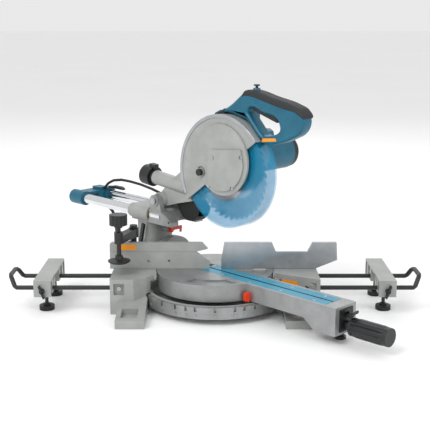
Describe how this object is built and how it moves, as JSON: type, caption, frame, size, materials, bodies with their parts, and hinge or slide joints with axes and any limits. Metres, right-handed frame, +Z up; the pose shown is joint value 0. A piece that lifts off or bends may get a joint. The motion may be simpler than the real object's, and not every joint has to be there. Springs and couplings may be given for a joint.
{
  "type": "slide compound mitre saw",
  "caption": "Corded slide compound mitre saw with a turning table, tilting bevel arm, sliding raised head, clear blade guard, hold-down clamp and side supports.",
  "frame": {"origin": "on the bench, under the mitre axis and midway between the four bench bolt holes", "axes": "+X to the right along the fence, +Y to the back, +Z up"},
  "size_m": [0.9238, 0.7388, 0.5065],
  "materials": {
    "cast_grey": "painted casting, satin",
    "cast_bare": "machined casting",
    "fence_bare": "bare machined",
    "steel": "turned",
    "black_plastic": "moulded, satin",
    "black_steel": "black coated",
    "teal_plastic": "moulded nylon",
    "kerf_blue": "moulded",
    "orange_red": "enamelled",
    "orange_plastic": "moulded",
    "rail_chrome": "ground and plated",
    "bronze": "sintered",
    "rubber": "moulded",
    "soft_grip": "overmoulded",
    "blade_steel": "ground",
    "guard_clear": "clear tinted polycarbonate",
    "winding": "laminated steel"
  },
  "bodies": {
    "base": {"base_casting": "cast_grey", "scale_ring": "cast_bare", "fence_left": "cast_grey", "fence_right": "fence_bare", "base_bolts": "steel", "turntable_bolt": "steel", "clamp_post": "black_steel"},
    "upper_fence": {"upper_fence": "cast_grey"},
    "clamp_arm": {"clamp_arm": "black_steel"},
    "clamp_screw": {"clamp_screw": "black_steel"},
    "clamp_plate": {"clamp_plate": "black_steel"},
    "support_left": {"support_rod_left": "black_steel"},
    "support_right": {"support_rod_right": "black_steel"},
    "bracket_left": {"support_bracket_left": "cast_grey", "screw_feet_left": "black_plastic"},
    "bracket_right": {"support_bracket_right": "cast_grey", "screw_feet_right": "black_plastic"},
    "wing_screw_left": {"wing_screw_left": "black_plastic"},
    "wing_screw_right": {"wing_screw_right": "black_plastic"},
    "turntable": {"turntable": "cast_bare", "kerf_boards": "kerf_blue", "mitre_pointer": "orange_plastic", "arm_end_plate": "black_plastic"},
    "mitre_grip": {"mitre_grip": "black_plastic"},
    "detent_lever": {"detent_lever": "black_steel"},
    "front_foot": {"front_foot": "black_plastic"},
    "bevel_arm": {"bevel_column": "cast_grey", "slide_bushings": "bronze"},
    "bevel_stop_lever": {"bevel_stop_lever": "orange_red"},
    "bevel_lock_lever": {"bevel_lock_lever": "black_steel"},
    "carriage": {"slide_rails": "rail_chrome", "rear_holder": "teal_plastic", "front_bracket": "cast_bare", "head_pivot_pin": "steel", "lead": "rubber", "strain_relief": "rubber", "power_cord": "rubber", "cord_coil": "rubber", "plug": "black_plastic"},
    "head": {"head_casting": "cast_grey", "centre_cover": "cast_grey", "cover_screws": "steel", "dust_chute": "rubber", "dust_nozzle": "black_plastic", "motor_housing": "teal_plastic", "motor_cap": "black_plastic", "handle": "teal_plastic", "soft_grip": "soft_grip", "field_core": "winding", "return_spring": "steel", "drive_belt": "rubber"},
    "trigger": {"trigger": "black_plastic"},
    "lock_off_button": {"lock_off_button": "black_plastic"},
    "shaft_lock": {"shaft_lock": "black_plastic"},
    "blade": {"saw_blade": "blade_steel", "blade_flanges": "steel", "spindle": "steel", "driven_pulley": "steel"},
    "armature": {"armature": "winding"},
    "lower_guard": {"lower_guard": "guard_clear"}
  },
  "joints": [
    {"name": "upper_fence_slide", "type": "slide", "parent": "base", "child": "upper_fence", "axis": [-1, 0, 0], "range_m": [0, 0.06]},
    {"name": "clamp_arm_swing", "type": "hinge", "parent": "base", "child": "clamp_arm", "pos_m": [-0.187, 0.024, 0.16], "axis": [0, 0, 1], "range_deg": [-8, 30]},
    {"name": "clamp_screw_travel", "type": "slide", "parent": "clamp_arm", "child": "clamp_screw", "axis": [0, 0, 1], "range_m": [-0.008, 0.024]},
    {"name": "clamp_plate_swivel", "type": "hinge", "parent": "clamp_screw", "child": "clamp_plate", "pos_m": [-0.214, -0.045, 0.112], "axis": [0, 0, 1], "continuous": true},
    {"name": "support_left_slide", "type": "slide", "parent": "base", "child": "support_left", "axis": [-1, 0, 0], "range_m": [0, 0.018]},
    {"name": "support_right_slide", "type": "slide", "parent": "base", "child": "support_right", "axis": [1, 0, 0], "range_m": [0, 0.018]},
    {"name": "bracket_left_slide", "type": "slide", "parent": "support_left", "child": "bracket_left", "axis": [-1, 0, 0], "range_m": [-0.1, 0.03]},
    {"name": "bracket_right_slide", "type": "slide", "parent": "support_right", "child": "bracket_right", "axis": [1, 0, 0], "range_m": [-0.1, 0.03]},
    {"name": "wing_screw_left_turn", "type": "hinge", "parent": "bracket_left", "child": "wing_screw_left", "pos_m": [-0.379, -0.096, 0.057], "axis": [0, -1, 0], "continuous": true},
    {"name": "wing_screw_right_turn", "type": "hinge", "parent": "bracket_right", "child": "wing_screw_right", "pos_m": [0.379, -0.096, 0.057], "axis": [0, -1, 0], "continuous": true},
    {"name": "mitre", "type": "hinge", "parent": "base", "child": "turntable", "pos_m": [0, 0, 0.043], "axis": [0, 0, 1], "range_deg": [-92, 15]},
    {"name": "mitre_grip_turn", "type": "hinge", "parent": "turntable", "child": "mitre_grip", "pos_m": [0.26304, -0.26304, 0.039], "axis": [0.7071, -0.7071, 0], "continuous": true},
    {"name": "detent_lever_tilt", "type": "hinge", "parent": "turntable", "child": "detent_lever", "pos_m": [0.25597, -0.25597, 0.0605], "axis": [0.7071, 0.7071, 0], "range_deg": [0, 7], "stiffness_Nm_per_rad": 0.6, "springref_deg": -8.59},
    {"name": "front_foot_turn", "type": "hinge", "parent": "turntable", "child": "front_foot", "pos_m": [0.25739, -0.23476, 0.02], "axis": [0, 0, 1], "continuous": true},
    {"name": "bevel", "type": "hinge", "parent": "turntable", "child": "bevel_arm", "pos_m": [-0.10607, 0.10607, 0.08], "axis": [-0.7071, 0.7071, 0], "range_deg": [-23, 2]},
    {"name": "bevel_stop_turn", "type": "hinge", "parent": "bevel_arm", "child": "bevel_stop_lever", "pos_m": [-0.10607, 0.10607, 0.148], "axis": [0.7071, -0.7071, 0], "range_deg": [0, 30]},
    {"name": "bevel_lock_turn", "type": "hinge", "parent": "bevel_arm", "child": "bevel_lock_lever", "pos_m": [-0.16971, 0.16971, 0.08], "axis": [0.7071, -0.7071, 0], "range_deg": [0, 35]},
    {"name": "slide", "type": "slide", "parent": "bevel_arm", "child": "carriage", "axis": [0.7071, -0.7071, 0], "range_m": [0, 0.18]},
    {"name": "chop", "type": "hinge", "parent": "carriage", "child": "head", "pos_m": [-0.10607, 0.10607, 0.225], "axis": [0.7071, 0.7071, 0], "range_deg": [0, 36.5], "stiffness_Nm_per_rad": 12, "springref_deg": -74.48},
    {"name": "trigger_pull", "type": "hinge", "parent": "head", "child": "trigger", "pos_m": [0.08768, -0.08768, 0.465], "axis": [-0.7071, -0.7071, 0], "range_deg": [0, 5], "stiffness_Nm_per_rad": 0.6, "springref_deg": -5.73},
    {"name": "lock_off_press", "type": "slide", "parent": "head", "child": "lock_off_button", "axis": [0, 0, -1], "range_m": [0, 0.004], "stiffness_N_per_m": 400, "springref_m": -0.003},
    {"name": "shaft_lock_press", "type": "slide", "parent": "head", "child": "shaft_lock", "axis": [0.7071, 0.7071, 0], "range_m": [0, 0.003], "stiffness_N_per_m": 600, "springref_m": -0.002},
    {"name": "blade_spin", "type": "hinge", "parent": "head", "child": "blade", "pos_m": [0.03429, -0.03429, 0.311], "axis": [0.7071, 0.7071, 0], "continuous": true},
    {"name": "armature_spin", "type": "hinge", "parent": "head", "child": "armature", "pos_m": [0.08627, -0.0297, 0.347], "axis": [0.7071, 0.7071, 0], "continuous": true},
    {"name": "guard_swing", "type": "hinge", "parent": "head", "child": "lower_guard", "pos_m": [0.03429, -0.03429, 0.311], "axis": [0.7071, 0.7071, 0], "range_deg": [-141, 0]}
  ],
  "couplings": [
    {"joint": "guard_swing", "follows": "chop", "ratio": -3.85},
    {"joint": "armature_spin", "follows": "blade_spin", "ratio": 2.6667}
  ]
}
